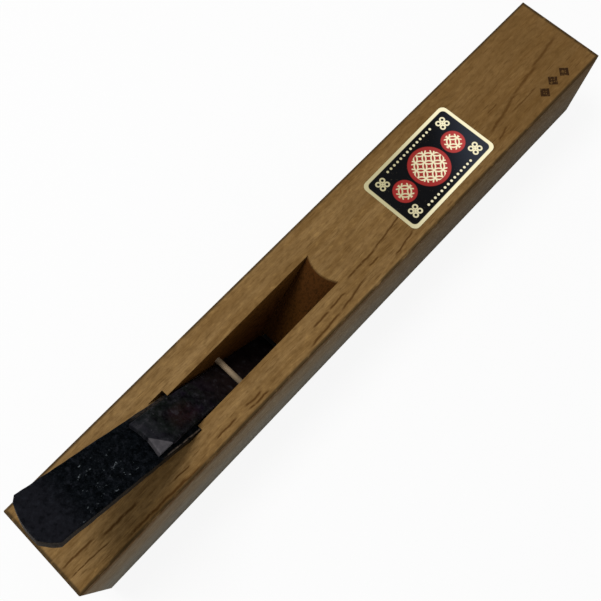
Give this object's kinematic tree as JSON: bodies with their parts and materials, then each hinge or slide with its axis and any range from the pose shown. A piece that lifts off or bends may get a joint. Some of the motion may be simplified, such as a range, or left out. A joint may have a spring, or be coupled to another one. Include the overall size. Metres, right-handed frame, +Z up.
{
  "type": "wooden hand plane",
  "caption": "Long, narrow Japanese pull plane: an oak block with a crowned throat, a laminated wedge blade, a chipbreaker with bent ears under a cross pin, and a plain patterned label.",
  "frame": {"origin": "middle of the sole, on the surface that the plane rests on", "axes": "+X along the block to its toe, +Y to the left side, +Z up"},
  "size_m": [0.2746, 0.038, 0.0833],
  "materials": {
    "oak": "oiled white oak with dark flecks along the grain",
    "forged_iron": "blue-black forge scale with hammer specks",
    "edge_steel": "ground and honed",
    "aged_iron": "dark brown oxide, filed bright on the ears",
    "pin_steel": "dull, lightly rusted",
    "label_foil": "printed paper foil, satin"
  },
  "bodies": {
    "block": {"block": "oak", "retaining_pin": "pin_steel", "label": "label_foil"},
    "blade": {"blade_body": "forged_iron", "blade_steel": "edge_steel"},
    "chipbreaker": {"chipbreaker_body": "aged_iron", "chipbreaker_steel": "edge_steel"}
  },
  "joints": [
    {"name": "blade_slide", "type": "slide", "parent": "block", "child": "blade", "axis": [-0.7627, 0, 0.6468], "range_m": [-0.0008, 0.05]},
    {"name": "chipbreaker_slide", "type": "slide", "parent": "blade", "child": "chipbreaker", "axis": [-0.749, 0, 0.6626], "range_m": [-0.0005, 0.05]}
  ]
}
